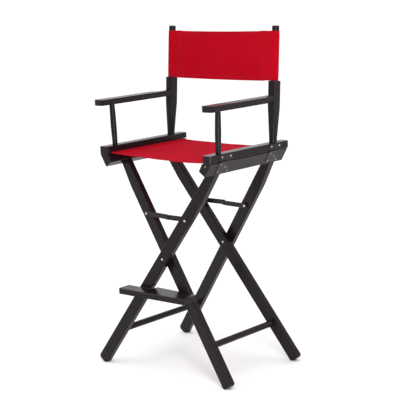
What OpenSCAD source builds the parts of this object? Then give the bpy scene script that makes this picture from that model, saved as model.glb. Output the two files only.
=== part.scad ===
// Tall folding director chair: two crossed leg frames, two side frames hinged
// on top of them, canvas seat and back, folding stays and a hinged footrest.
// X runs to the sitter's left, Y to the back of the chair, Z up. The origin is
// on the floor, under the middle of the whole chair.

/* [Leg frames] */
// Height of the crossing bolts above the floor
pivot_z = 399; // [396:1:402]
// Lean of every leg from the vertical, seen from the front
leg_angle = 35.4; // [35.2:0.1:35.6]
// Splay of the legs towards front and back
leg_splay = 4.6; // [4:0.1:5]
// Width of a leg bar
leg_w = 41; // [39:1:43]
// Thickness of a leg bar
leg_t = 22.4; // [21:0.2:23]
// Gap between the outer and the inner leg at the crossing
leg_gap = 7.6; // [7.4:0.1:8]
// Distance from the middle of the chair to the outer legs' outer face at the crossing
frame_half_depth = 181.5; // [178:0.5:185]

/* [Side frames] */
// Height of the top of the seat rails
rail_top = 770; // [768:1:772]
// Distance from the middle of the chair to a seat rail's outer face
rail_half = 254; // [252:1:256]
// Width of a seat rail
rail_w = 38; // [36:1:40]
// Height of a seat rail
rail_h = 25; // [24:0.5:26]
// Length of a seat rail, front to back
seat_rail_len = 401; // [396:1:406]
// Length of the lower rails under the seat rails
lower_rail_len = 392; // [388:1:394]
// Height of the top of the arms
arm_top = 929; // [920:1:940]
// Height of the top of the back posts
post_top = 1157; // [1140:1:1170]
// Backward lean of the back posts
post_lean = 4.9; // [4:0.1:6]

/* [Canvas] */
// Sag in the middle of the seat
seat_sag = 10; // [5:0.5:14]
// Height of the back canvas
back_h = 164; // [150:1:175]

/* [Footrest] */
// Height of the top of the footrest
footrest_z = 294; // [290:1:298]
// Thickness of the footrest board
footrest_t = 20; // [18:0.5:22]

/* [Hidden] */
$fn = 48;

// Signs used all through: right or left side, front or rear end
right = 1;
left = -1;
front = -1;
rear = 1;

wood = [0.07, 0.07, 0.08];
steel = [0.13, 0.13, 0.14];
nickel = [0.75, 0.73, 0.68];
canvas_red = [0.82, 0.02, 0.08];

// Rounding of the wooden edges
edge_r = 3;
// Gap left between flat faces that move past each other
slip = 0.4;
// Radial clearance of a pin that turns in a hole
running = 0.05;
// Overshoot of every cutting solid
cut = 1;

// Legs, measured along the leg from the crossing bolt
foot_len = 484;
foot_round = 13;
taper_start = 270;
taper_out = 11;
leg_slope = tan(leg_splay);
outer_mid = frame_half_depth - leg_t / 2;
inner_mid = outer_mid - leg_t - leg_gap;

// The lower rail's outline, seen from the front
lower_top = rail_top - rail_h - 1;
lower_face = 51.5;
lower_face_angle = 31.2;
lower_base = 30.7;
lower_out_x = rail_half - 0.5;
// The lower rails reach further to the front than to the back
lower_shift = -3;

// The rail hinges' pin line
hinge_x = rail_half + 2.6;
hinge_z = lower_top + 0.8;
knuckle_r = 2.6;
hinge_pin_r = 1.3;
leaf_t = 1.4;
hinge_front_y = -156;
hinge_rear_y = 95;
hinge_len = 64;
lower_knuckle_len = 27;
screw_r = 1.5;
screw_head_r = 3.1;
screw_head_h = 1.3;
screw_len = 10;

// Stretchers
stretcher_r = 11;
stretcher_s = 334;
stretcher_socket = 13;

// Crossing bolts
bolt_r = 3;
bolt_head_r = 4.4;
bolt_recess_r = 6.6;
bolt_recess = 3.6;
washer_r = 9.5;
spotface_r = 10;
spotface_depth = leg_slope * spotface_r + 0.1;
nut_r = 6;
nut_h = 4.5;

// Stays: rivets on the legs this far above the crossing bolt, along the leg
stay_s = 172;
stay_w = 17;
stay_t = 1.5;
stay_gap = 1.7;
stay_clear = (leg_gap - 2 * stay_t - stay_gap) / 2;
stay_stand_off = leg_gap - stay_clear - stay_t;
rivet_r = 2.5;
rivet_head_r = 4.2;
rivet_head_h = 1.1;
spacer_r = 5;
stay_rise = stay_s * cos(leg_angle);
stay_vector = [-stay_rise * sin(leg_angle), (stay_rise * cos(leg_angle) - stay_s) / cos(leg_splay)];
stay_len = norm(stay_vector);
stay_turn = atan2(stay_vector.y, stay_vector.x);

// Keyhole groove that holds the edge of the seat
groove_x = rail_half - 21;
groove_r = 6.5;
groove_z = rail_top - 16;
slot_h = 3;
slot_z = groove_z - groove_r;
seat_t = 2;
hem_r = groove_r - 0.3;
dowel_r = 4.6;
hem_bore = dowel_r + 0.3;
seat_half_len = 184;

// Arms and posts
arm_t = 20;
arm_w = 48;
arm_mid_x = 247.5;
arm_front = 203;
arm_narrow = 23;
arm_narrow_from = 75;
arm_narrow_to = 92;
arm_post_x = 236.6;
arm_post_y = -142;
arm_post_spread = 2.2;
arm_post_r = 9;
arm_post_swell = 1.4;
post_x = 236;
post_y = 138.5;
post_w = 33;
post_corner = 7;
post_foot_r = 13.3;
post_shoulder = 206;
post_ease = 1.6;
post_square_from = 118;
post_round_to = 8;
post_dowel_r = 12.2;
tenon_len = 9;
back_low = 207;
sleeve_r = 14;
panel_t = 2.4;

// Footrest
footrest_left = -147;
footrest_right = 138;
footrest_front_left = 250;
footrest_front_right = 233;
footrest_back = 165.8;
lobe_end = -42;
footrest_gap = 2.2;
footrest_pin_r = 1;
footrest_knuckle_r = 2.4;
footrest_pin_drop = 1.6;
footrest_pin_off = footrest_knuckle_r + 0.1;
footrest_seat = footrest_knuckle_r - 0.2;
footrest_leaf_h = 14;
footrest_screw_drop = 8.5;
footrest_turn = atan(leg_slope * sin(leg_angle));
footrest_tilt = asin(sin(leg_splay) * cos(leg_angle));
footrest_leaf_x0 = -88;
footrest_leaf_len = 38;

// The chair's own middle lies this far behind the origin, because the footrest
// stands out further to the front than the rear feet to the back
mid_y = 15.1;

// ---- placing -------------------------------------------------------------

// Chair geometry is written about the chair's own middle
module chair() {
    translate([0, mid_y, 0]) children();
}

// The right side is drawn; the left side is its mirror image
module on_side(side) {
    mirror([side == left ? 1 : 0, 0, 0]) children();
}

// A leg's own frame: Z up along the leg from the crossing, Y through its thickness
module on_leg(side, end) {
    mid = side == right ? outer_mid : inner_mid;
    on_side(side)
        translate([0, 0, pivot_z])
            rotate([0, leg_angle, 0])
                translate([0, end * mid, 0])
                    rotate([end * leg_splay, 0, 0])
                        children();
}

// A cylinder that runs towards +Y
module rod_y(r, y0, y1) {
    translate([0, y0, 0]) rotate([-90, 0, 0]) cylinder(r = r, h = y1 - y0);
}

module round_rect(w, h, r) {
    square([w - 2 * r, h], center = true);
    square([w, h - 2 * r], center = true);
    for (x = [-1, 1], y = [-1, 1])
        translate([x * (w / 2 - r), y * (h / 2 - r)]) circle(r = r);
}

// Extrudes an outline drawn in X and Z along Y
module prism_y(y0, y1) {
    translate([0, y1, 0]) rotate([90, 0, 0]) linear_extrude(y1 - y0) children();
}

// ---- leg frames ----------------------------------------------------------

// Seen from the front, the foot's outer corner to the left
module leg_outline() {
    half = leg_w / 2;
    top = foot_len;
    polygon([
        [-half, -foot_len + foot_round], [-half + foot_round, -foot_len], [half, -foot_len],
        [half, taper_start], [taper_out, 380], [taper_out, top], [-half, top]
    ]);
    translate([-half + foot_round, -foot_len + foot_round]) circle(r = foot_round);
}

module leg_bar() {
    intersection() {
        prism_y(-leg_t / 2, leg_t / 2) leg_outline();
        translate([0, 0, -foot_len]) linear_extrude(2 * foot_len) round_rect(leg_w, leg_t, edge_r);
    }
}

module leg_tenon(side, end) {
    on_leg(side, end) translate([-12, -5, 370]) cube([16, 10, 32]);
}

module lower_rail_outline() {
    out_low = [lower_out_x - lower_face * sin(lower_face_angle), lower_top - lower_face * cos(lower_face_angle)];
    in_low = out_low + lower_base * [-cos(leg_angle), sin(leg_angle)];
    ease = 1.6;
    polygon([
        out_low + [-ease * cos(leg_angle), ease * sin(leg_angle)],
        out_low + [ease * sin(lower_face_angle), ease * cos(lower_face_angle)],
        [lower_out_x - ease * tan(lower_face_angle), lower_top - ease],
        [lower_out_x - ease * 1.8, lower_top],
        [rail_half - rail_w + ease, lower_top],
        [rail_half - rail_w - 0.5, lower_top - ease],
        in_low + [1, 3] * ease * 0.5,
        in_low + [ease * cos(leg_angle), -ease * sin(leg_angle)]
    ]);
}

module lower_rail_block(side) {
    on_side(side) prism_y(lower_shift - lower_rail_len / 2, lower_shift + lower_rail_len / 2) lower_rail_outline();
}

module pivot_at() {
    translate([0, 0, pivot_z]) children();
}

// Front faces of the outer and the inner leg at the crossing, front pair
outer_face_y = frame_half_depth;
inner_face_y = frame_half_depth - leg_t - leg_gap;

// Bolt hole, recesses for the head and the nut, and a flat seat for the washer
module crossing_cut(side, end) {
    outer_gap = end * (outer_face_y - leg_t);
    inner_gap = end * inner_face_y;
    middle = (outer_gap + inner_gap) / 2;
    reach = leg_gap / 2 + spotface_depth;
    head_y = end == front ? -outer_face_y : inner_face_y - leg_t;
    nut_y = end == front ? -inner_face_y + leg_t : outer_face_y;
    turns = side == left ? running : 0;
    pivot_at() {
        rod_y(bolt_r + turns, min(head_y, nut_y) - 5, max(head_y, nut_y) + 5);
        rod_y(spotface_r, middle - reach, middle + reach);
        rod_y(bolt_recess_r, head_y - 5, head_y + bolt_recess);
        rod_y(nut_r + 1.5, nut_y - bolt_recess - 0.6, nut_y + 5);
    }
}

module stay_rivet_hole() {
    translate([0, 0, stay_s / cos(leg_splay)]) rod_y(rivet_r, -leg_t, leg_t);
}

module stretcher_bar(side) {
    mid = side == right ? outer_mid : inner_mid;
    reach = mid - leg_t / 2 + leg_slope * stretcher_s + stretcher_socket;
    on_side(side)
        translate([-stretcher_s * sin(leg_angle), 0, pivot_z - stretcher_s * cos(leg_angle)])
            rod_y(stretcher_r, -reach, reach);
}

module below_floor() {
    translate([-400, -400, -100]) cube([800, 800, 100]);
}

module leg(side, end) {
    color(wood) chair() difference() {
        union() {
            difference() {
                on_leg(side, end) leg_bar();
                lower_rail_block(side);
                above_rail(side);
            }
            leg_tenon(side, end);
        }
        below_floor();
        stretcher_bar(side);
        crossing_cut(side, end);
        on_leg(side, end) stay_rivet_hole();
        on_side(side) lower_screws_all();
        if (side == right && end == front) footrest_leg_screws_all();
    }
}

// Everything of a leg that would reach past the rail's underside
module above_rail(side) {
    on_side(side) translate([0, 0, pivot_z]) rotate([0, leg_angle, 0])
        translate([-60, -250, 379]) cube([120, 500, 200]);
}

module stretcher(side) {
    color(wood) chair() stretcher_bar(side);
}

module lower_rail(side) {
    color(wood) chair() difference() {
        lower_rail_block(side);
        for (end = [front, rear]) leg_tenon(side, end);
        on_side(side) lower_screws_all();
        if (side == right) end_screws_all();
    }
}

// ---- rail hinges ---------------------------------------------------------

// The lower rail's outer face: X along the rail's length, Y down the face, Z outwards
module on_lower_face(y0) {
    translate([lower_out_x, y0, lower_top])
        rotate([0, 90 + lower_face_angle, 0])
            rotate([0, 0, 90])
                children();
}

// Screw places on the lower leaf: along the rail, and down the face
lower_screw_places = [[10, 7.5], [36, 21], [55, 37], [11, 38]];
upper_screw_places = [[12, 15.5], [53, 15.5]];

module screw(grip) {
    translate([0, 0, -screw_len]) cylinder(r = screw_r, h = screw_len + grip);
    translate([0, 0, grip]) {
        cylinder(r = screw_head_r, h = 0.5);
        translate([0, 0, 0.5]) cylinder(r1 = screw_head_r, r2 = 1.7, h = screw_head_h - 0.5);
    }
}

// A countersunk screw, flush with the top of a hinge leaf
module sunk_screw() {
    translate([0, 0, -screw_len]) cylinder(r = screw_r, h = screw_len);
    cylinder(r1 = screw_r, r2 = 2.9, h = leaf_t);
}

module lower_screws_at(y0) {
    on_lower_face(y0)
        for (p = lower_screw_places) translate([p.x, -p.y, 0]) screw(leaf_t);
}

module lower_screws_all() {
    for (y0 = [hinge_front_y, hinge_rear_y]) lower_screws_at(y0);
}

// Outer face of the seat rail: X along the rail, Y up, Z outwards
module on_upper_face(y0) {
    translate([rail_half, y0, lower_top + 1]) rotate([90, 0, 90]) children();
}

module upper_screws_at(y0) {
    on_upper_face(y0)
        for (p = upper_screw_places) translate([p.x, p.y, 0]) screw(leaf_t);
}

module upper_screws_all() {
    for (y0 = [hinge_front_y, hinge_rear_y]) upper_screws_at(y0);
}

module hinge_knuckle(y0, len) {
    translate([hinge_x, y0, hinge_z]) rod_y(knuckle_r, 0, len);
}

module hinge_pin_hole(y0, clearance) {
    translate([hinge_x, y0 - cut, hinge_z]) rod_y(hinge_pin_r + clearance, 0, hinge_len + 2 * cut);
}

module lower_leaf(side, y0) {
    color(steel) chair() on_side(side) difference() {
        union() {
            on_lower_face(y0) linear_extrude(leaf_t)
                polygon([[0, 0.6], [lower_knuckle_len - 2, 0.6], [hinge_len, -28], [hinge_len, -44], [0, -44]]);
            hinge_knuckle(y0, lower_knuckle_len);
        }
        hinge_pin_hole(y0, 0);
        lower_screws_at(y0);
    }
}

module upper_leaf(side, y0) {
    color(steel) chair() on_side(side) difference() {
        union() {
            on_upper_face(y0) linear_extrude(leaf_t) difference() {
                translate([0, 1.5]) square([hinge_len, 20]);
                translate([-cut, -cut]) square([lower_knuckle_len + slip + cut, 5 + cut]);
            }
            hinge_knuckle(y0 + lower_knuckle_len + slip, hinge_len - lower_knuckle_len - slip);
        }
        hinge_pin_hole(y0, running);
        upper_screws_at(y0);
    }
}

module hinge_pins(side) {
    color(steel) chair() on_side(side)
        for (y0 = [hinge_front_y, hinge_rear_y])
            translate([hinge_x, y0, hinge_z]) rod_y(hinge_pin_r, 0, hinge_len);
}

module lower_screws(side) {
    color(nickel) chair() on_side(side) lower_screws_all();
}

module upper_screws(side) {
    color(nickel) chair() on_side(side) upper_screws_all();
}

// One screw in each end of the right lower rail
module end_screws_all() {
    for (end = [front, rear])
        translate([rail_half - 24, lower_shift + end * lower_rail_len / 2, lower_top - 9])
            rotate([-90 * end, 0, 0]) screw(0);
}

module end_screws() {
    color(nickel) chair() end_screws_all();
}

// ---- crossing bolts ------------------------------------------------------

module bolt_line(end) {
    head_y = end == front ? -outer_face_y : inner_face_y - leg_t;
    nut_y = end == front ? -inner_face_y + leg_t : outer_face_y;
    shank_y0 = head_y + bolt_recess;
    shank_y1 = nut_y - bolt_recess + nut_h;
    pivot_at() difference() {
        union() {
            rod_y(bolt_r, shank_y0, shank_y1);
            rod_y(bolt_head_r, shank_y0 - 2.4 - slip / 2, shank_y0 - slip / 2);
            translate([0, shank_y0 - 2.4 - slip / 2, 0]) rotate([90, 0, 0]) cylinder(r1 = bolt_head_r, r2 = 3, h = 0.9);
            rod_y(bolt_r, shank_y0 - slip, shank_y0);
        }
        translate([0, shank_y0 - 4, 0]) rotate([-90, 0, 0]) cylinder(r = 2, h = 1.8, $fn = 6);
    }
}

module nut_at(end) {
    nut_y = end == front ? -inner_face_y + leg_t : outer_face_y;
    y0 = nut_y - bolt_recess;
    pivot_at() difference() {
        translate([0, y0, 0]) rotate([-90, 0, 0]) cylinder(r = nut_r, h = nut_h - 0.6, $fn = 6);
        rod_y(bolt_r, y0 - cut, y0 + nut_h + cut);
    }
}

module washer_at(end) {
    outer_gap = end * (outer_face_y - leg_t);
    inner_gap = end * inner_face_y;
    inward = end == front ? 1 : -1;
    y_fixed = outer_gap - inward * spotface_depth;
    y_free = inner_gap + inward * (spotface_depth - slip / 2);
    pivot_at() difference() {
        rod_y(washer_r, min(y_fixed, y_free), max(y_fixed, y_free));
        rod_y(bolt_r, min(y_fixed, y_free) - cut, max(y_fixed, y_free) + cut);
    }
}

module cross_bolts() {
    color(nickel) chair() for (end = [front, rear]) bolt_line(end);
}

module cross_nuts() {
    color(nickel) chair() for (end = [front, rear]) nut_at(end);
}

module cross_washers() {
    color(steel) chair() for (end = [front, rear]) washer_at(end);
}

// ---- folding stays -------------------------------------------------------

// A stay's own frame: origin on its leg rivet where it leaves the leg's gap face,
// X along the stay, Y across the gap towards the other leg
module on_stay(side, end) {
    gap_dir = side == right ? -end : end;
    on_leg(side, end)
        translate([0, gap_dir * leg_t / 2, stay_s / cos(leg_splay)])
            rotate([0, -stay_turn, 0])
                mirror([0, gap_dir < 0 ? 1 : 0, 0])
                    children();
}

module stay_bar(side, end) {
    color(steel) chair() on_stay(side, end) difference() {
        union() {
            prism_y(stay_stand_off, stay_stand_off + stay_t) {
                circle(r = stay_w / 2);
                translate([stay_len, 0]) circle(r = stay_w / 2);
                translate([0, -stay_w / 2]) square([stay_len, stay_w]);
            }
            translate([14, stay_stand_off + stay_t, -2.5]) cube([stay_len - 28, 0.4, 5]);
        }
        rod_y(rivet_r + running, 0, leg_gap);
    }
}

module stay_button(side, end) {
    color(nickel) chair() on_stay(side, end)
        translate([stay_len, 0, 0]) rod_y(rivet_head_r, stay_stand_off + stay_t, stay_stand_off + stay_t + rivet_head_h);
}

module stay_rivets(side) {
    color(nickel) chair() for (end = [front, rear]) on_stay(side, end) {
        rod_y(rivet_r, -leg_t, stay_stand_off + stay_t + slip / 2);
        rod_y(spacer_r, 0, stay_stand_off - slip / 2);
        rod_y(rivet_head_r, stay_stand_off + stay_t + slip / 2, stay_stand_off + stay_t + rivet_head_h);
        rod_y(rivet_head_r, -leg_t - rivet_head_h, -leg_t);
    }
}

// ---- side frames ---------------------------------------------------------

// The back post's own frame: origin on the rail's top, Z up along the leaning post
module on_post() {
    translate([post_x, post_y, rail_top]) rotate([-post_lean, 0, 0]) children();
}

module post_tenon() {
    on_post() translate([0, 0, -tenon_len]) cylinder(r = 9, h = tenon_len + 2);
}

module on_arm_post() {
    translate([arm_post_x, arm_post_y, rail_top]) rotate([0, arm_post_spread, 0]) children();
}

arm_post_h = (arm_top - arm_t - rail_top) / cos(arm_post_spread);

module arm_post_tenons() {
    on_arm_post() translate([0, 0, -tenon_len]) cylinder(r = 6, h = arm_post_h + 2 * tenon_len);
}

module seat_rail(side) {
    ease = 4;
    inner_ease = 7;
    x0 = rail_half - rail_w;
    y1 = seat_rail_len / 2;
    groove_y0 = -seat_half_len - 1;
    groove_len = y1 - groove_y0 + cut;
    color(wood) chair() on_side(side) difference() {
        intersection() {
            translate([rail_half - rail_w / 2, 0, rail_top - rail_h / 2])
                prism_y(-y1, y1) round_rect(rail_w, rail_h, edge_r);
            linear_extrude(rail_top + cut) polygon([
                [x0, -y1 + inner_ease], [x0 + inner_ease, -y1], [rail_half - ease, -y1], [rail_half, -y1 + ease],
                [rail_half, y1 - ease], [rail_half - ease, y1], [x0 + ease / 2, y1], [x0, y1 - ease / 2]
            ]);
        }
        // The groove is open at the back only, where the dowel is slid in
        translate([groove_x, groove_y0, groove_z]) rod_y(groove_r, 0, groove_len);
        translate([x0 - cut, groove_y0, slot_z]) cube([groove_x - x0 + cut, groove_len, slot_h]);
        post_tenon();
        arm_post_tenons();
        upper_screws_all();
    }
}

// Seen from above: full width to the front, narrowed on its outer side at the back post
module arm_outline() {
    out = arm_mid_x + arm_w / 2;
    in = arm_mid_x - arm_w / 2;
    polygon([
        [in, -arm_front + 9], [in + 2, -arm_front + 4], [in + 6, -arm_front + 1.2], [in + 12, -arm_front],
        [out - 16, -arm_front], [out - 9, -arm_front + 1.5], [out - 3, -arm_front + 6], [out, -arm_front + 13],
        [out, arm_narrow_from], [out - arm_narrow, arm_narrow_to],
        [out - arm_narrow, 170], [in, 170]
    ]);
}

module arm(side) {
    color(wood) chair() on_side(side) difference() {
        intersection() {
            linear_extrude(arm_top + cut) arm_outline();
            translate([arm_mid_x, 0, arm_top - arm_t / 2]) prism_y(-arm_front, 170) round_rect(arm_w, arm_t, edge_r);
        }
        on_post() translate([-60, -post_w / 2, 0]) cube([120, 100, 400]);
        arm_post_tenons();
        arm_screw_body();
    }
}

module arm_post(side) {
    steps = 12;
    profile = [for (i = [0 : steps]) [arm_post_r + arm_post_swell * sin(180 * i / steps), arm_post_h * i / steps]];
    color(wood) chair() on_side(side) {
        intersection() {
            on_arm_post() rotate_extrude() polygon(concat([[0, 0]], profile, [[0, arm_post_h]]));
            translate([0, -300, rail_top]) cube([400, 400, arm_top - arm_t - rail_top]);
        }
        arm_post_tenons();
    }
}

module post_square(z0, z1) {
    translate([0, 0, z0]) linear_extrude(z1 - z0) round_rect(post_w, post_w, post_corner);
}

module back_post(side) {
    dowel_top = (post_top - rail_top) / cos(post_lean);
    color(wood) chair() on_side(side) {
        difference() {
            union() {
                on_post() {
                    translate([0, 0, -3]) cylinder(r = post_foot_r, h = post_round_to + 3);
                    post_square(post_square_from, post_shoulder - post_ease);
                    hull() {
                        translate([0, 0, post_round_to]) cylinder(r = post_foot_r, h = 0.1, $fn = 32);
                        translate([0, 0, post_square_from]) linear_extrude(0.1)
                            round_rect(post_w, post_w, post_corner, $fn = 32);
                    }
                    translate([0, 0, post_shoulder - post_ease]) linear_extrude(post_ease)
                        offset(delta = -post_ease / 2) round_rect(post_w, post_w, post_corner);
                    cylinder(r = post_dowel_r, h = dowel_top - 2);
                    translate([0, 0, dowel_top - 2]) cylinder(r1 = post_dowel_r, r2 = post_dowel_r - 2, h = 2);
                }
            }
            translate([0, 0, rail_top - 50]) linear_extrude(50) square(800, center = true);
            arm_screw_body();
        }
        difference() {
            post_tenon();
            translate([0, 0, rail_top]) linear_extrude(50) square(800, center = true);
        }
    }
}

// A long screw from behind the back post into the end grain of the arm
module arm_screw_body() {
    on_post() translate([0, post_w / 2, (arm_top - arm_t / 2 - rail_top) / cos(post_lean)])
        rotate([-90, 0, 0]) {
            translate([0, 0, -post_w - 28]) cylinder(r = 2.2, h = post_w + 28);
            cylinder(r = 4.5, h = 0.6);
            translate([0, 0, 0.6]) cylinder(r1 = 4.5, r2 = 2.5, h = 1.4);
        }
}

module arm_screw(side) {
    color(nickel) chair() on_side(side) arm_screw_body();
}

module seat_dowel(side) {
    color(wood) chair() on_side(side)
        translate([groove_x, 0, groove_z]) rod_y(dowel_r, -seat_half_len, seat_half_len);
}

// ---- canvas --------------------------------------------------------------

// The seat's cross-section: a shallow curve between the two slots, as thick as the cloth
function sag_z(x, half) = seat_sag * (1 - pow(x / half, 2));

module seat_outline() {
    half = rail_half - rail_w;
    steps = 24;
    edge = groove_x - 2;
    mid_z = slot_z + slot_h / 2;
    xs = [for (i = [0 : steps]) half * (2 * i / steps - 1)];
    upper = concat([[-edge, mid_z + seat_t / 2]],
        [for (x = xs) [x, mid_z + seat_t / 2 - sag_z(x, half)]], [[edge, mid_z + seat_t / 2]]);
    lower = concat([[edge, mid_z - seat_t / 2]],
        [for (i = [steps : -1 : 0]) [xs[i], mid_z - seat_t / 2 - sag_z(xs[i], half)]], [[-edge, mid_z - seat_t / 2]]);
    polygon(concat(upper, lower));
}

module seat_canvas() {
    color(canvas_red) chair() difference() {
        union() {
            prism_y(-seat_half_len, seat_half_len) seat_outline();
            for (side = [left, right])
                translate([side * groove_x, 0, groove_z]) rod_y(hem_r, -seat_half_len, seat_half_len);
        }
        for (side = [left, right])
            translate([side * groove_x, 0, groove_z]) rod_y(hem_bore, -seat_half_len - cut, seat_half_len + cut);
    }
}

module back_canvas() {
    front_y = -sleeve_r;
    color(canvas_red) chair() difference() {
        union() {
            for (side = [left, right])
                translate([side * post_x, post_y, rail_top]) rotate([-post_lean, 0, 0])
                    translate([0, 0, back_low]) cylinder(r = sleeve_r, h = back_h);
            translate([0, post_y, rail_top]) rotate([-post_lean, 0, 0])
                translate([-post_x, front_y, back_low]) cube([2 * post_x, panel_t, back_h]);
        }
        for (side = [left, right])
            translate([side * post_x, post_y, rail_top]) rotate([-post_lean, 0, 0])
                translate([0, 0, back_low - cut]) cylinder(r = post_dowel_r + 0.3, h = back_h + 2 * cut);
    }
}

// ---- footrest ------------------------------------------------------------

// Front face of the outer front leg, across the chair and up it
function leg_face_y(x, z) =
    -outer_mid - leg_t / 2 / cos(leg_splay) - leg_slope * (-x * sin(leg_angle) + (pivot_z - z) * cos(leg_angle));

// Back edge of the board where it meets the outer leg
function board_back_y(x) = leg_face_y(x, footrest_z) - footrest_gap;

// The hinge line: X along it, Y towards the leg, Z up
module on_footrest_hinge() {
    z = footrest_z - footrest_pin_drop;
    translate([footrest_leaf_x0, leg_face_y(footrest_leaf_x0, z) - footrest_pin_off, z])
        rotate([0, 0, footrest_turn]) children();
}

module footrest_outline() {
    r = 6;
    fl = [footrest_left, -footrest_front_left];
    fr = [footrest_right, -footrest_front_right];
    polygon([
        [footrest_left, board_back_y(footrest_left) - 3], [footrest_left, fl.y + r],
        [footrest_left + r * 0.3, fl.y + r * 0.3], [footrest_left + r, fl.y + 0.4],
        [footrest_right - r, fr.y - 0.4], [footrest_right - r * 0.3, fr.y + r * 0.3], [footrest_right, fr.y + r],
        [footrest_right, -footrest_back - 3], [footrest_right - 3, -footrest_back],
        [lobe_end, -footrest_back], [lobe_end, board_back_y(lobe_end)],
        [footrest_left + 3, board_back_y(footrest_left)]
    ]);
}

module footrest_board() {
    color(wood) chair() difference() {
        eased_board();
        footrest_board_screws_all();
        // Recess for the hinge's leaf and barrel in the back edge
        on_footrest_hinge() {
            translate([-1, -footrest_seat, -footrest_leaf_h - 1])
                cube([footrest_leaf_len + 2, 10, footrest_leaf_h + 10]);
            translate([-1, 0, 0]) rotate([0, 90, 0]) cylinder(r = footrest_knuckle_r + slip, h = footrest_leaf_len + 2);
        }
    }
}

// The board, with the edges of its front eased
module eased_board() {
    ease = 1.6;
    slope = (footrest_front_left - footrest_front_right) / (footrest_right - footrest_left);
    low = footrest_z - footrest_t;
    intersection() {
        translate([0, 0, low]) linear_extrude(footrest_t) footrest_outline();
        translate([footrest_left, -footrest_front_left, 0]) rotate([0, 0, atan(slope)])
            translate([-30, 0, 0]) rotate([90, 0, 90]) linear_extrude(400)
                polygon([[0, low + ease], [ease, low], [140, low], [140, footrest_z], [ease * 2, footrest_z],
                    [0, footrest_z - ease * 2]]);
    }
}

// Screw places along the hinge line
footrest_screw_xs = [6, 19, 32];

// The fixed leaf lies on the leg's face: X along the hinge line, Y up the face, Z outwards
module on_fixed_leaf() {
    on_footrest_hinge() translate([0, footrest_pin_off, 0]) rotate([90 - footrest_tilt, 0, 0]) children();
}

// The board's leaf lies on the board's back edge: Y down the edge, Z towards the leg
module on_board_leaf() {
    on_footrest_hinge() translate([0, -footrest_seat, 0]) rotate([-90, 0, 0]) children();
}

module footrest_leg_screws_all() {
    on_fixed_leaf() for (x = footrest_screw_xs) translate([x, -footrest_screw_drop, 0]) sunk_screw();
}

module footrest_board_screws_all() {
    on_board_leaf() for (x = footrest_screw_xs) translate([x, footrest_screw_drop, 0]) sunk_screw();
}

module footrest_barrel(x0, len) {
    on_footrest_hinge() translate([x0, 0, 0]) rotate([0, 90, 0]) cylinder(r = footrest_knuckle_r, h = len);
}

module footrest_pin_hole(clearance) {
    on_footrest_hinge() translate([-cut, 0, 0]) rotate([0, 90, 0])
        cylinder(r = footrest_pin_r + clearance, h = footrest_leaf_len + 2 * cut);
}

knuckle_third = footrest_leaf_len / 3;

// Space kept free for the other leaf's knuckle
module footrest_knuckle_space(x0, len) {
    on_footrest_hinge() translate([x0, 0, 0]) rotate([0, 90, 0])
        cylinder(r = footrest_knuckle_r + slip, h = len);
}

module footrest_fixed_leaf() {
    low = footrest_knuckle_r + 1;
    knuckle_grip = 1.2;
    knuckle_len = knuckle_third - slip;
    color(steel) chair() difference() {
        union() {
            on_fixed_leaf() linear_extrude(leaf_t) {
                translate([0, -footrest_leaf_h]) square([footrest_leaf_len, footrest_leaf_h - low]);
                for (x = [0, footrest_leaf_len - knuckle_len])
                    translate([x + slip, -low - cut]) square([knuckle_len - 2 * slip, low + cut - knuckle_grip]);
            }
            for (x = [0, footrest_leaf_len - knuckle_len]) footrest_barrel(x, knuckle_len);
        }
        footrest_pin_hole(0);
        footrest_leg_screws_all();
    }
}

module footrest_board_leaf() {
    color(steel) chair() difference() {
        union() {
            on_board_leaf() cube([footrest_leaf_len, footrest_leaf_h, leaf_t]);
            footrest_barrel(knuckle_third, knuckle_third);
        }
        footrest_pin_hole(running);
        footrest_board_screws_all();
        footrest_knuckle_space(-cut, knuckle_third + cut);
        footrest_knuckle_space(2 * knuckle_third, knuckle_third + cut);
    }
}

module footrest_pin() {
    color(steel) chair() on_footrest_hinge() rotate([0, 90, 0]) cylinder(r = footrest_pin_r, h = footrest_leaf_len);
}

module footrest_leg_screws() {
    color(nickel) chair() footrest_leg_screws_all();
}

module footrest_board_screws() {
    color(nickel) chair() footrest_board_screws_all();
}

// ---- nodes ---------------------------------------------------------------

leg(right, front);  // outer_leg_front
leg(right, rear);  // outer_leg_rear
stretcher(right);  // outer_stretcher
lower_rail(right);  // lower_rail_right
lower_leaf(right, hinge_front_y);  // hinge_lower_leaf_right_front
lower_leaf(right, hinge_rear_y);  // hinge_lower_leaf_right_rear
hinge_pins(right);  // hinge_pins_right
lower_screws(right);  // hinge_lower_screws_right
end_screws();  // rail_end_screws_right
cross_bolts();
cross_washers();
cross_nuts();
stay_rivets(right);  // stay_rivets_outer
footrest_fixed_leaf();  // footrest_hinge_fixed_leaf
footrest_pin();  // footrest_hinge_pin
footrest_leg_screws();  // footrest_hinge_leg_screws
leg(left, front);  // inner_leg_front
leg(left, rear);  // inner_leg_rear
stretcher(left);  // inner_stretcher
lower_rail(left);  // lower_rail_left
lower_leaf(left, hinge_front_y);  // hinge_lower_leaf_left_front
lower_leaf(left, hinge_rear_y);  // hinge_lower_leaf_left_rear
hinge_pins(left);  // hinge_pins_left
lower_screws(left);  // hinge_lower_screws_left
stay_rivets(left);  // stay_rivets_inner
seat_rail(right);  // seat_rail_right
arm(right);  // arm_right
arm_post(right);  // arm_post_right
back_post(right);  // back_post_right
arm_screw(right);  // arm_screw_right
seat_dowel(right);  // seat_dowel_right
upper_leaf(right, hinge_front_y);  // hinge_upper_leaf_right_front
upper_leaf(right, hinge_rear_y);  // hinge_upper_leaf_right_rear
upper_screws(right);  // hinge_upper_screws_right
seat_canvas();
back_canvas();
seat_rail(left);  // seat_rail_left
arm(left);  // arm_left
arm_post(left);  // arm_post_left
back_post(left);  // back_post_left
arm_screw(left);  // arm_screw_left
seat_dowel(left);  // seat_dowel_left
upper_leaf(left, hinge_front_y);  // hinge_upper_leaf_left_front
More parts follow.
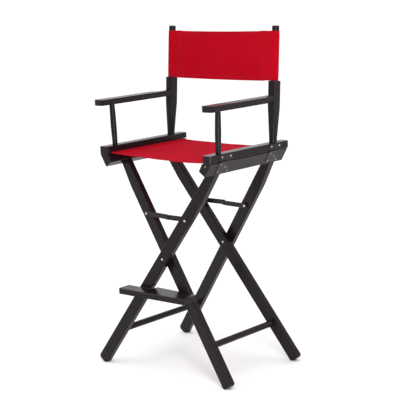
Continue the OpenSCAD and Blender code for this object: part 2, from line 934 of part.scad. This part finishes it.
upper_leaf(left, hinge_rear_y);  // hinge_upper_leaf_left_rear
upper_screws(left);  // hinge_upper_screws_left
stay_bar(right, front);  // stay_front_outer
stay_bar(left, front);  // stay_front_inner
stay_bar(right, rear);  // stay_rear_outer
stay_bar(left, rear);  // stay_rear_inner
stay_button(right, front);  // stay_button_front_outer
stay_button(left, front);  // stay_button_front_inner
stay_button(right, rear);  // stay_button_rear_outer
stay_button(left, rear);  // stay_button_rear_inner
footrest_board();
footrest_board_leaf();  // footrest_hinge_board_leaf
footrest_board_screws();  // footrest_hinge_board_screws
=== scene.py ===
"""Looks of the folding director chair.

Black painted wood, red canvas, black steel, and small nickel and brass fasteners.
"""

import math

import bpy
import numpy as np
from mathutils import Matrix, Vector

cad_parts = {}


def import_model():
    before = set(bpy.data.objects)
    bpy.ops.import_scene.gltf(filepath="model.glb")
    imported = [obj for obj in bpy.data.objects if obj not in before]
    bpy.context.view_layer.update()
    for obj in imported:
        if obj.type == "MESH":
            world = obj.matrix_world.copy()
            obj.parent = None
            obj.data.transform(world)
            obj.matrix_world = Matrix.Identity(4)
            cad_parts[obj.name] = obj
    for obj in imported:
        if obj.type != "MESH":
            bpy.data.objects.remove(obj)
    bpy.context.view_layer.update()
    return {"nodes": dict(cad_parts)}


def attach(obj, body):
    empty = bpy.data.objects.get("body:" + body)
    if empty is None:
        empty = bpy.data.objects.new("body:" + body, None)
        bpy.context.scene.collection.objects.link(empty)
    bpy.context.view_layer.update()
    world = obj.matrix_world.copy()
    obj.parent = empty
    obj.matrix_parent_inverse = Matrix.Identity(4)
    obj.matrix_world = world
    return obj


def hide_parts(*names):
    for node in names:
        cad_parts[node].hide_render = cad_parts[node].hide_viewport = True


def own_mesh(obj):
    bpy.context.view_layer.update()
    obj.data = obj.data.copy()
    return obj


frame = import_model()

# ---- sizes, in metres, in the row frame ------------------------------------

MID_Y = 0.0151                    # the chair's own middle, behind the origin
POST_X = 0.236
POST_FOOT = Vector((0, 0.1385 + MID_Y, 0.770))
POST_LEAN = math.radians(4.9)
POST_UP = Vector((0, math.sin(POST_LEAN), math.cos(POST_LEAN)))
POST_BACK = Vector((0, math.cos(POST_LEAN), -math.sin(POST_LEAN)))
SLEEVE_R = 0.0130                 # middle of the cloth around the post's dowel
BACK_LOW = 0.207                  # lower edge of the back, up the post from its foot
BACK_H = 0.164
SEAM_IN = 0.043                   # sleeve seam, inwards from the post
FLAP = 0.011                      # cloth behind the panel beyond that seam
RAIL_IN = 0.216                   # a seat rail's inner face
GROOVE_X = 0.233
GROOVE_Z = 0.754
SEAT_WRAP_R = 0.0055              # middle of the cloth around the seat's dowel
SEAT_Z = GROOVE_Z - SEAT_WRAP_R
SEAT_HALF_LEN = 0.1835
CLOTH_T = 0.0012
SHARP = 32                        # degrees: an edge that turns more than this is eased

SEWN = 0.0040                     # pitch of the stitches
THREAD_R = 0.00034
THREAD_SIDES = 6
STITCH_RISE = 0.00018             # how far a stitch stands up from the cloth in its middle
HEM_SEWN = 0.0105                 # stitches of a hem, inwards from its edge
SECOND_SEAM = 0.006               # second row of stitches of a sleeve, further in

OUT_LEG = Vector((math.sin(math.radians(35.4)), 0, math.cos(math.radians(35.4))))
IN_LEG = Vector((-OUT_LEG.x, 0, OUT_LEG.z))

# Strength of the studio's light: on the side the chair is seen from, and behind it
DIM = 0.20
BRIGHT = 1.04

LENS = 107.9                      # millimetres, on a sensor 36 mm wide
CAMERA_PLACE = (2.746, -2.9636, 1.3468)
CAMERA_TURN = 42.47               # degrees: about the vertical, below the horizon, about the view
CAMERA_DOWN = 10.83
CAMERA_ROLL = -2.40

# ---- materials ---------------------------------------------------------------


class Shader:
    """A material's node tree, with short calls to add and link nodes."""

    def __init__(self, name):
        self.material = bpy.data.materials.new(name)
        self.material.use_nodes = True
        self.tree = self.material.node_tree
        self.bsdf = self.tree.nodes["Principled BSDF"]

    def add(self, kind, **values):
        """Adds a node and sets its options and inputs, with _ for a space in a name."""
        node = self.tree.nodes.new("ShaderNode" + kind)
        for key, value in values.items():
            if hasattr(node, key):
                setattr(node, key, value)
            else:
                node.inputs[key.replace("_", " ")].default_value = value
        return node

    def link(self, source, target):
        """Joins an output to an input."""
        self.tree.links.new(source, target)

    def math(self, operation, a, b=None):
        """One step of arithmetic on sockets or numbers."""
        node = self.add("Math", operation=operation)
        for slot, value in zip(node.inputs, (a, b)):
            if isinstance(value, bpy.types.NodeSocket):
                self.link(value, slot)
            elif value is not None:
                slot.default_value = value
        return node.outputs[0]

    def remap(self, value, low, high, to_low, to_high):
        """Maps the range low to high onto to_low to to_high."""
        node = self.add("MapRange")
        self.link(value, node.inputs["Value"])
        for name, number in zip(("From Min", "From Max", "To Min", "To Max"), (low, high, to_low, to_high)):
            node.inputs[name].default_value = number
        return node.outputs["Result"]

    def mix(self, factor, a, b):
        """Blends from colour a to colour b."""
        node = self.add("Mix", data_type="RGBA")
        for slot, value in zip((node.inputs[0], node.inputs[6], node.inputs[7]), (factor, a, b)):
            if isinstance(value, bpy.types.NodeSocket):
                self.link(value, slot)
            else:
                slot.default_value = value
        return node.outputs[2]

    def noise(self, vector, scale, detail=3.0, roughness=0.5):
        """Smooth random values in space."""
        node = self.add("TexNoise", Scale=scale, Detail=detail, Roughness=roughness)
        self.link(vector, node.inputs["Vector"])
        return node.outputs["Fac"]

    def bump(self, height, distance, below=None):
        """Relief from heights, on top of another relief if one is given."""
        node = self.add("Bump", Strength=1.0, Distance=distance)
        self.link(height, node.inputs["Height"])
        if below is not None:
            self.link(below, node.inputs["Normal"])
        return node.outputs["Normal"]

    def edges(self, radius):
        """1 on edges that a hand or a shoe would rub, 0 on flat faces."""
        soft = self.add("Bevel", samples=4, Radius=radius)
        hard = self.add("NewGeometry")
        dot = self.add("VectorMath", operation="DOT_PRODUCT")
        self.link(soft.outputs["Normal"], dot.inputs[0])
        self.link(hard.outputs["Normal"], dot.inputs[1])
        return self.remap(dot.outputs["Value"], 0.995, 0.86, 0.0, 1.0)


def black_wood(name, along):
    """Black lacquer over close-grained wood whose grain runs along the given direction."""
    s = Shader(name)
    place = s.add("TexCoord").outputs["Object"]
    turned = s.add("Mapping", vector_type="TEXTURE")
    turned.inputs["Rotation"].default_value = Vector((1, 0, 0)).rotation_difference(along).to_euler()
    s.link(place, turned.inputs["Vector"])
    stretched = s.add("Mapping")
    stretched.inputs["Scale"].default_value = (1.0, 22.0, 22.0)
    s.link(turned.outputs["Vector"], stretched.inputs["Vector"])
    grain = s.noise(stretched.outputs["Vector"], 26.0, 6.0, 0.62)
    pores = s.remap(grain, 0.52, 0.74, 0.0, 1.0)
    cloudy = s.noise(place, 9.0, 2.0)
    dust = s.noise(place, 900.0, 1.0)
    worn = s.math("MULTIPLY", s.edges(0.0016), s.remap(s.noise(place, 38.0, 4.0), 0.42, 0.66, 0.0, 1.0))
    tone = s.mix(cloudy, (0.0080, 0.0046, 0.0074, 1), (0.0128, 0.0080, 0.0120, 1))
    tone = s.mix(s.math("MULTIPLY", pores, 0.55), tone, (0.0036, 0.0030, 0.0036, 1))
    tone = s.mix(s.math("MULTIPLY", worn, 0.50), tone, (0.046, 0.040, 0.042, 1))
    s.link(tone, s.bsdf.inputs["Base Color"])
    rough = s.math("ADD", s.remap(cloudy, 0.3, 0.7, 0.20, 0.28), s.math("MULTIPLY", worn, 0.10))
    s.link(s.math("ADD", rough, s.math("MULTIPLY", pores, 0.08)), s.bsdf.inputs["Roughness"])
    relief = s.bump(pores, -0.000012)
    s.link(s.bump(dust, 0.0000012, below=relief), s.bsdf.inputs["Normal"])
    s.bsdf.inputs["IOR"].default_value = 1.26
    return s.material


def canvas(name, painted_light_gain=1.0):
    """Red cotton canvas, plain weave. UVs are metres on the flat cloth. The gain argument scales the red;
    above 1 it paints light onto the cloth.
    """
    s = Shader(name)
    flat = s.add("TexCoord").outputs["UV"]
    place = s.add("TexCoord").outputs["Object"]
    xyz = s.add("SeparateXYZ")
    s.link(flat, xyz.inputs["Vector"])
    yarn = 2 * math.pi / 0.0011
    across = s.math("SINE", s.math("MULTIPLY", xyz.outputs["X"], yarn))
    along = s.math("SINE", s.math("MULTIPLY", xyz.outputs["Y"], yarn))
    over = s.math("MULTIPLY", across, along)
    slub = s.add("Mapping")
    slub.inputs["Scale"].default_value = (18.0, 700.0, 1.0)
    s.link(flat, slub.inputs["Vector"])
    weft = s.noise(slub.outputs["Vector"], 1.0, 2.0)
    slub_up = s.add("Mapping")
    slub_up.inputs["Scale"].default_value = (700.0, 18.0, 1.0)
    s.link(flat, slub_up.inputs["Vector"])
    warp = s.noise(slub_up.outputs["Vector"], 1.0, 2.0)
    threads = s.math("ADD", weft, warp)
    faded = s.noise(place, 7.0, 3.0)
    tone = s.mix(s.remap(threads, 0.75, 1.25, 0.0, 1.0), (0.370 * painted_light_gain, 0.0008, 0.0068, 1),
                 (0.445 * painted_light_gain, 0.0020, 0.0115, 1))
    # Painted shade: where the weave sits low (over near -1) the red is darkened, as if shaded in its hollows
    tone = s.mix(s.remap(over, -1.0, 1.0, 0.22, 0.0), tone, (0.235 * painted_light_gain, 0.001, 0.004, 1))
    tone = s.mix(s.remap(faded, 0.35, 0.7, 0.0, 0.16), tone, (0.500 * painted_light_gain, 0.006, 0.020, 1))
    s.link(tone, s.bsdf.inputs["Base Color"])
    s.link(s.remap(threads, 0.7, 1.3, 0.92, 0.80), s.bsdf.inputs["Roughness"])
    relief = s.bump(over, 0.00011)
    relief = s.bump(threads, 0.00016, below=relief)
    fuzz = s.noise(place, 2600.0, 2.0)
    s.link(s.bump(fuzz, 0.00005, below=relief), s.bsdf.inputs["Normal"])
    s.bsdf.inputs["Specular IOR Level"].default_value = 0.03
    s.bsdf.inputs["Sheen Weight"].default_value = 0.05
    s.bsdf.inputs["Sheen Roughness"].default_value = 0.45
    s.bsdf.inputs["Sheen Tint"].default_value = (1.0, 0.16, 0.48, 1)
    return s.material


def thread(name):
    """Sewing thread, a shade darker than the canvas."""
    s = Shader(name)
    twist = s.noise(s.add("TexCoord").outputs["Object"], 1500.0, 2.0)
    s.link(s.mix(twist, (0.15, 0.001, 0.005, 1), (0.25, 0.002, 0.009, 1)), s.bsdf.inputs["Base Color"])
    s.link(s.bump(twist, 0.0001), s.bsdf.inputs["Normal"])
    s.bsdf.inputs["Roughness"].default_value = 0.55
    return s.material


def metal(name, light, dark, low, high, scratch, metallic=1.0, ior=1.5):
    """Metal or enamelled steel with fine handling scratches and stains."""
    s = Shader(name)
    place = s.add("TexCoord").outputs["Object"]
    stretched = s.add("Mapping")
    stretched.inputs["Scale"].default_value = (60.0, 60.0, 700.0)
    s.link(place, stretched.inputs["Vector"])
    lines = s.noise(stretched.outputs["Vector"], 3.0, 3.0, 0.7)
    stain = s.noise(place, 130.0, 4.0)
    worn = s.edges(0.0008)
    tone = s.mix(s.remap(stain, 0.35, 0.7, 0.0, 1.0), light, dark)
    rubbed = tuple(min(1, 1.7 * c + 0.03) for c in light[:3]) + (1,)
    tone = s.mix(s.math("MULTIPLY", worn, 0.35), tone, rubbed)
    s.link(tone, s.bsdf.inputs["Base Color"])
    s.link(s.remap(s.math("ADD", lines, stain), 0.7, 1.3, low, high), s.bsdf.inputs["Roughness"])
    s.link(s.bump(lines, scratch), s.bsdf.inputs["Normal"])
    s.bsdf.inputs["Metallic"].default_value = metallic
    s.bsdf.inputs["IOR"].default_value = ior
    return s.material


wood_leg_out = black_wood("wood_outer_legs", OUT_LEG)
wood_leg_in = black_wood("wood_inner_legs", IN_LEG)
wood_deep = black_wood("wood_front_to_back", Vector((0, 1, 0)))
wood_up = black_wood("wood_upright", POST_UP)
wood_wide = black_wood("wood_crosswise", Vector((1, 0, 0)))
steel = metal("black_steel", (0.015, 0.012, 0.014, 1), (0.006, 0.005, 0.006, 1), 0.24, 0.40, 0.00001,
              metallic=0.0, ior=1.33)
brass = metal("aged_brass", (0.46, 0.37, 0.26, 1), (0.17, 0.12, 0.085, 1), 0.34, 0.55, 0.00002)
nickel = metal("nickel", (0.78, 0.74, 0.66, 1), (0.50, 0.44, 0.34, 1), 0.20, 0.38, 0.00002)
red_back = canvas("canvas_back")
# The seat is the same cloth as the back, painted 12 % lighter: painted light where the seat faces up towards
# the lamps
red_seat = canvas("canvas_seat", 1.12)
red_thread = thread("red_thread")


def material_of(node):
    """The material of a CAD node, from its name."""
    if "lower_screws" in node or "end_screws" in node:
        return brass
    if any(word in node for word in ("screw", "rivet", "bolt", "nut")):
        return nickel
    if "hinge" in node or "washer" in node or node.startswith("stay"):
        return steel
    if "outer_leg" in node:
        return wood_leg_out
    if "inner_leg" in node:
        return wood_leg_in
    if "post" in node:
        return wood_up
    if "footrest" in node:
        return wood_wide
    return wood_deep


def ease(obj, width, segments):
    """Rounds the sharp edges of a CAD node and keeps its flat faces flat, by modifiers only."""
    mesh = obj.data
    if "custom_normal" in mesh.attributes:
        mesh.attributes.remove(mesh.attributes["custom_normal"])
    for face in mesh.polygons:
        face.use_smooth = True
    flat = obj.modifiers.new("planar", "DECIMATE")
    flat.decimate_type = "DISSOLVE"
    flat.angle_limit = math.radians(0.6)
    bevel = obj.modifiers.new("eased", "BEVEL")
    bevel.width = width
    bevel.segments = segments
    bevel.limit_method = "ANGLE"
    bevel.angle_limit = math.radians(SHARP)
    bevel.use_clamp_overlap = True
    bevel.miter_outer = "MITER_ARC"
    weighted = obj.modifiers.new("weighted", "WEIGHTED_NORMAL")
    weighted.mode = "FACE_AREA"
    weighted.weight = 60


for name, obj in frame["nodes"].items():
    material = material_of(name)
    obj.data.materials.clear()
    obj.data.materials.append(material)
    if not material.name.startswith("wood"):
        ease(obj, 0.00024, 2)
    elif "rail" in name or name.startswith("arm_"):
        ease(obj, 0.0024, 4)
    else:
        ease(obj, 0.0014, 3)

# ---- cloth -------------------------------------------------------------------


def steps(low, high, count):
    """The ends of a number of equal steps from low to high."""
    return list(np.linspace(low, high, count + 1))


def smooth(t):
    """Eases from 0 to 1 as t goes from 0 to 1, and stays there beyond."""
    t = min(1, max(0, t))
    return t * t * (3 - 2 * t)


def reaches(points):
    """How far along a line each of its points lies."""
    found = [0.0]
    for a, b in zip(points, points[1:]):
        found.append(found[-1] + (b - a).length)
    return found


def nearest(values, wanted):
    """Index of the value that lies closest to the wanted one."""
    return min(range(len(values)), key=lambda i: abs(values[i] - wanted))


def new_piece(name, verts, faces, material):
    """A smooth-shaded object of one material."""
    mesh = bpy.data.meshes.new(name)
    mesh.from_pydata(verts, [], faces)
    for face in mesh.polygons:
        face.use_smooth = True
    mesh.materials.append(material)
    obj = bpy.data.objects.new(name, mesh)
    bpy.context.scene.collection.objects.link(obj)
    return obj


def hemmed(length, middle):
    """Places across a cloth from edge to edge, closer together where the hems are turned and sewn."""
    near = [0, 0.0004, 0.0011, 0.003, 0.006, 0.009, 0.0105, 0.0114, 0.0121, 0.0128, 0.0136, 0.0150, 0.019]
    return near + steps(0.024, length - 0.024, middle) + [length - d for d in reversed(near)]


def hem_lift(d):
    """Height of the folded hem above the single cloth, at distance d from its edge, grooved where sewn."""
    turned = 1 - smooth((d - 0.0112) / 0.0018)
    rolled = np.sqrt(np.clip(d / 0.0016, 0, 1))
    sewn = np.exp(-((d - 0.0100) / 0.0007) ** 2)
    return 0.00085 * turned * (0.35 + 0.65 * rolled) - 0.00042 * sewn


def grid(name, rows, uvs, material, thickness):
    """A cloth from rows of points, with its flat position in metres as UVs, and a real thickness."""
    across, along = len(rows), len(rows[0])
    verts = [tuple(p) for row in rows for p in row]
    flat = [uv for row in uvs for uv in row]
    faces = [
        (i * along + j, i * along + j + 1, (i + 1) * along + j + 1, (i + 1) * along + j)
        for i in range(across - 1)
        for j in range(along - 1)
    ]
    obj = new_piece(name, verts, faces, material)
    layer = obj.data.uv_layers.new(name="flat")
    for loop in obj.data.loops:
        layer.data[loop.index].uv = flat[loop.vertex_index]
    solid = obj.modifiers.new("thickness", "SOLIDIFY")
    solid.thickness = thickness
    solid.offset = 0
    apply(obj)
    return obj


def apply(obj):
    """Makes the modifiers part of the mesh."""
    graph = bpy.context.evaluated_depsgraph_get()
    done = bpy.data.meshes.new_from_object(obj.evaluated_get(graph))
    obj.modifiers.clear()
    obj.data = done


def stitches(name, lines, lift):
    """Rows of lock stitches: a short rounded thread every SEWN along lines of (point, outward) pairs."""
    verts, faces = [], []
    for line in lines:
        points = [Vector(p) for p, _ in line]
        outs = [Vector(o).normalized() for _, o in line]
        reach = reaches(points)
        count = int(reach[-1] / SEWN)
        for k in range(count):
            at = [(k + 0.14) * SEWN, (k + 0.86) * SEWN]
            ends = [Vector([np.interp(t, reach, [p[i] for p in points]) for i in range(3)]) for t in at]
            out = Vector([np.interp(at[0], reach, [o[i] for o in outs]) for i in range(3)]).normalized()
            way = (ends[1] - ends[0]).normalized()
            side = way.cross(out)
            base = len(verts)
            for share, high in ((0.0, -0.6), (0.18, 0.55), (0.5, 1.0), (0.82, 0.55), (1.0, -0.6)):
                centre = ends[0].lerp(ends[1], share) + out * (lift + STITCH_RISE * high)
                for q in range(THREAD_SIDES):
                    a = 2 * math.pi * q / THREAD_SIDES
                    verts.append(centre + (out * math.sin(a) + side * math.cos(a)) * THREAD_R)
            last = len(verts) - THREAD_SIDES
            for ring in range(base, last, THREAD_SIDES):
                for q in range(THREAD_SIDES):
                    a, b = ring + q, ring + (q + 1) % THREAD_SIDES
                    faces.append((a, b, b + THREAD_SIDES, a + THREAD_SIDES))
            faces.append(tuple(base + q for q in reversed(range(THREAD_SIDES))))
            faces.append(tuple(last + q for q in range(THREAD_SIDES)))
    return new_piece(name, [tuple(v) for v in verts], faces, red_thread)


def sleeve_arc():
    """Round the right dowel, from the seam behind the panel to the front.

    Points are (x, y) about the dowel's middle, with y to the back.
    """
    seam = Vector((-SEAM_IN, -SLEEVE_R + 1.3 * CLOTH_T))
    turn = math.acos(SLEEVE_R / seam.length)
    leave = math.atan2(seam.y, seam.x) + 2 * math.pi - turn
    flap = [Vector((-SEAM_IN - FLAP, seam.y)).lerp(seam, t) for t in steps(0, 1, 4)]
    tangent = Vector((math.cos(leave), math.sin(leave))) * SLEEVE_R
    straight = [seam.lerp(tangent, t) for t in steps(0, 1, 9)[1:]]
    arc = [
        Vector((math.cos(a), math.sin(a))) * SLEEVE_R
        for a in np.linspace(leave, -math.pi / 2, 33)[1:]
    ]
    return flap + straight + arc


def back_path():
    """The back's whole strip seen from above, from the right sleeve's flap to the left sleeve's."""
    right = [Vector((POST_X + p.x, p.y)) for p in sleeve_arc()]
    front = [Vector((x, -SLEEVE_R)) for x in np.linspace(POST_X, -POST_X, 97)[1:-1]]
    left = [Vector((-p.x, p.y)) for p in reversed(right)]
    return right, front, left


def build_back():
    """The back: one strip of cloth with a sleeve round each dowel, hemmed along its top and bottom."""
    right, front, left = back_path()
    path = right + front + left
    reach = reaches(path)
    heights = hemmed(BACK_H, 44)
    rows, uvs = [], []
    for k, p in enumerate(path):
        nxt, prv = path[min(k + 1, len(path) - 1)], path[max(k - 1, 0)]
        way = (nxt - prv).normalized()
        out = Vector((way.y, -way.x))
        on_panel = len(right) <= k < len(right) + len(front)
        middle = 1 - (p.x / POST_X) ** 2 if on_panel else 0.0
        if out.y > 0 and on_panel:
            out = -out
        row, uv = [], []
        for h in heights:
            d = min(h, BACK_H - h)
            t = h / BACK_H
            # The top edge hangs a little between the posts, and so does the bottom one, clear of the sleeves
            top = 0.0032 * middle
            free = smooth((POST_X - 0.014 - abs(p.x)) / 0.03)
            low = -0.0016 * free - 0.0020 * middle
            up = BACK_LOW + low + (BACK_H - top - low) * t
            # Out of its plane the panel bellies back, with small pulls and a dent beside each post
            belly = 0.0022 * middle * math.sin(math.pi * t)
            pull = 0.0002 * math.sin(310 * t + 40 * p.x) * math.exp(-((abs(p.x) - 0.19) / 0.03) ** 2)
            soft = 0.0005 * math.sin(9 * t + 17 * p.x) * math.sin(31 * p.x + 5 * t) * middle
            lift = hem_lift(d) * (1.0 if on_panel else 0.55)
            dent = 0.0011 * math.exp(-((POST_X - 0.031 - abs(p.x)) / 0.006) ** 2)
            place = Vector((p.x, p.y)) + out * lift
            y = place.y + (belly + pull + soft + dent if on_panel else 0.0)
            row.append(POST_FOOT + Vector((place.x, 0, 0)) + POST_BACK * y + POST_UP * up)
            uv.append((reach[k], h))
        rows.append(row)
        uvs.append(uv)
    return grid("back_cloth", rows, uvs, red_back, CLOTH_T), reach[-1], rows, len(right), heights


def seam_line(rows, heights, row_index, low, high):
    """A line up the back for stitches, between two heights."""
    return [(rows[row_index][j], -POST_BACK) for j, h in enumerate(heights) if low <= h <= high]


def hem_line(rows, heights, first, last, distance):
    """A line across the back's panel for stitches, at one height."""
    near = nearest(heights, distance)
    return [(rows[i][near], -POST_BACK) for i in range(first, last)]


back_cloth, back_flat, back_rows, back_first, back_heights = build_back()
panel_ends = (back_first, len(back_rows) - back_first)
panel_xs = [row[0].x for row in back_rows[slice(*panel_ends)]]
seam_rows = [
    back_first + nearest(panel_xs, side * (POST_X - SEAM_IN - offset))
    for side in (1, -1)
    for offset in (0.0, SECOND_SEAM)
]
back_stitches = stitches(
    "back_stitches",
    [seam_line(back_rows, back_heights, i, 0.002, BACK_H - 0.002) for i in seam_rows]
    + [hem_line(back_rows, back_heights, *panel_ends, d) for d in (HEM_SEWN, BACK_H - HEM_SEWN)],
    CLOTH_T / 2,
)


def seat_path():
    """The seat's strip seen from the front, from the right dowel's wrap to the left one's.

    Points are (x, z), without the sag.
    """
    wrap = [
        Vector((GROOVE_X + SEAT_WRAP_R * math.cos(a), GROOVE_Z + SEAT_WRAP_R * math.sin(a)))
        for a in np.linspace(math.radians(200), math.radians(-90), 25)
    ]
    inside = [Vector((x, SEAT_Z)) for x in np.linspace(GROOVE_X, RAIL_IN, 5)[1:-1]]
    panel = [Vector((x, SEAT_Z)) for x in np.linspace(RAIL_IN, -RAIL_IN, 91)]
    left = [Vector((-p.x, p.y)) for p in reversed(wrap + inside)]
    return wrap + inside, panel, left


def seat_sag(x, y):
    """Drops beside the rails, hangs lowest in the middle, and is loose in the sitter's front left corner."""
    t = (y - MID_Y) / SEAT_HALF_LEN
    beside = smooth((RAIL_IN - abs(x)) / 0.014)
    hollow = (0.0052 - 0.0026 * max(t, 0) ** 2) * (1 - (x / RAIL_IN) ** 2)
    loose = 0.0036 * smooth((x + 0.06) / 0.20) * smooth(-0.9 * t)
    return (0.0027 + loose) * beside + hollow


def build_seat():
    """The seat: one strip of cloth with a hem round each dowel, hemmed along its front and rear."""
    right, panel, left = seat_path()
    path = right + panel + left
    reach = reaches(path)
    lengths = hemmed(2 * SEAT_HALF_LEN, 80)
    rows, uvs = [], []
    for k, p in enumerate(path):
        on_panel = len(right) <= k < len(right) + len(panel)
        row, uv = [], []
        for d in lengths:
            y = MID_Y - SEAT_HALF_LEN + d
            edge = min(d, 2 * SEAT_HALF_LEN - d)
            z = p.y
            if on_panel:
                # The free edges are drawn in, and the cloth is wavy in the middle and tight beside the rails
                inside = 1 - (p.x / RAIL_IN) ** 2
                drawn = 0.0022 * inside * math.exp(-edge / 0.02)
                y += drawn * (1 if y < MID_Y else -1)
                wave = 0.0005 * math.sin(41 * p.x + 9 * y) * math.sin(23 * y - 6 * p.x)
                tight = 0.00035 * math.sin(190 * y + 12 * abs(p.x)) * math.exp(-(RAIL_IN - abs(p.x)) / 0.035)
                z += -seat_sag(p.x, y) + hem_lift(edge) + inside * wave + tight * min(1, 20 * inside)
            row.append(Vector((p.x, y, z)))
            uv.append((reach[k], d))
        rows.append(row)
        uvs.append(uv)
    return grid("seat_cloth", rows, uvs, red_seat, CLOTH_T), reach[-1], rows, len(right), lengths


seat_cloth, seat_flat, seat_rows, seat_first, seat_lengths = build_seat()
seat_panel = seat_rows[seat_first:len(seat_rows) - seat_first]
seat_sewn = [nearest(seat_lengths, d) for d in (HEM_SEWN, 2 * SEAT_HALF_LEN - HEM_SEWN)]
seat_stitches = stitches(
    "seat_stitches",
    [[(row[j], Vector((0, 0, 1))) for row in seat_panel] for j in seat_sewn],
    CLOTH_T / 2,
)

for piece, node, anchor in (
    (back_cloth, "back_canvas", POST_X),
    (back_stitches, None, POST_X),
    (seat_cloth, "seat_canvas", GROOVE_X),
    (seat_stitches, None, GROOVE_X),
):
    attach(piece, "side_right")
    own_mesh(piece)
    if node:
        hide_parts(node)

# ---- stage, light and camera -------------------------------------------------


def floor():
    """A wide, pale, matt floor, just under the feet."""
    bpy.ops.mesh.primitive_plane_add(size=400, location=(0, 0, -0.0005))
    plane = bpy.context.object
    plane.name = "floor"
    s = Shader("pale_floor")
    mottle = s.noise(s.add("TexCoord").outputs["Object"], 3.0, 2.0)
    s.link(s.mix(mottle, (0.95, 0.95, 0.95, 1), (0.97, 0.97, 0.97, 1)), s.bsdf.inputs["Base Color"])
    s.bsdf.inputs["Roughness"].default_value = 0.9
    plane.data.materials.append(s.material)


def sun(direction, strength, angle):
    """A very soft light from a direction; the angle is the width of its disc, in degrees."""
    data = bpy.data.lights.new("sun", "SUN")
    data.energy = strength
    data.angle = math.radians(angle)
    lamp = bpy.data.objects.new("sun", data)
    lamp.rotation_mode = "QUATERNION"
    lamp.rotation_quaternion = Vector(direction).to_track_quat("Z", "Y")
    bpy.context.scene.collection.objects.link(lamp)


def softbox(name, place, aim, size, power):
    """A rectangular lamp at a place, aimed at a point, size in metres and power in watts."""
    data = bpy.data.lights.new(name, "AREA")
    data.shape = "RECTANGLE"
    data.size, data.size_y = size
    data.energy = power
    lamp = bpy.data.objects.new(name, data)
    lamp.location = place
    lamp.rotation_mode = "QUATERNION"
    lamp.rotation_quaternion = (Vector(aim) - Vector(place)).to_track_quat("-Z", "Y")
    bpy.context.scene.collection.objects.link(lamp)


def world():
    """A white studio: bright behind and above the chair, dim on the side it is seen from."""
    made = bpy.data.worlds.new("studio")
    bpy.context.scene.world = made
    made.use_nodes = True
    tree = made.node_tree
    background = tree.nodes["Background"]
    background.inputs["Color"].default_value = (1.0, 1.0, 1.0, 1)
    place = tree.nodes.new("ShaderNodeTexCoord")
    dot = tree.nodes.new("ShaderNodeVectorMath")
    dot.operation = "DOT_PRODUCT"
    dot.inputs[1].default_value = Vector((-0.62, 0.68, 0.39)).normalized()
    ramp = tree.nodes.new("ShaderNodeMapRange")
    for name, number in zip(("From Min", "From Max", "To Min", "To Max"), (-0.5, 0.5, DIM, BRIGHT)):
        ramp.inputs[name].default_value = number
    tree.links.new(place.outputs["Generated"], dot.inputs[0])
    tree.links.new(dot.outputs["Value"], ramp.inputs["Value"])
    tree.links.new(ramp.outputs["Result"], background.inputs["Strength"])


def camera():
    """The view from the sitter's front left, a little from above."""
    data = bpy.data.cameras.new("camera")
    data.sensor_width = 36
    data.lens = LENS
    eye = bpy.data.objects.new("camera", data)
    turn = Matrix.Rotation(math.radians(CAMERA_TURN), 4, "Z")
    tilt = Matrix.Rotation(math.radians(90 - CAMERA_DOWN), 4, "X")
    roll = Matrix.Rotation(math.radians(CAMERA_ROLL), 4, "Z")
    eye.matrix_world = Matrix.Translation(CAMERA_PLACE) @ turn @ tilt @ roll
    bpy.context.scene.collection.objects.link(eye)
    bpy.context.scene.camera = eye


bpy.context.scene.view_settings.view_transform = "Standard"
floor()
world()
sun((-0.10, -0.50, 0.9), 1.35, 80)
softbox("strip", (2.13, -1.49, 1.25), (0, 0, 0.75), (0.5, 2.3), 44)
softbox("side", (3.2, 1.9, 1.8), (0, 0, 0.6), (0.5, 2.4), 6)
camera()
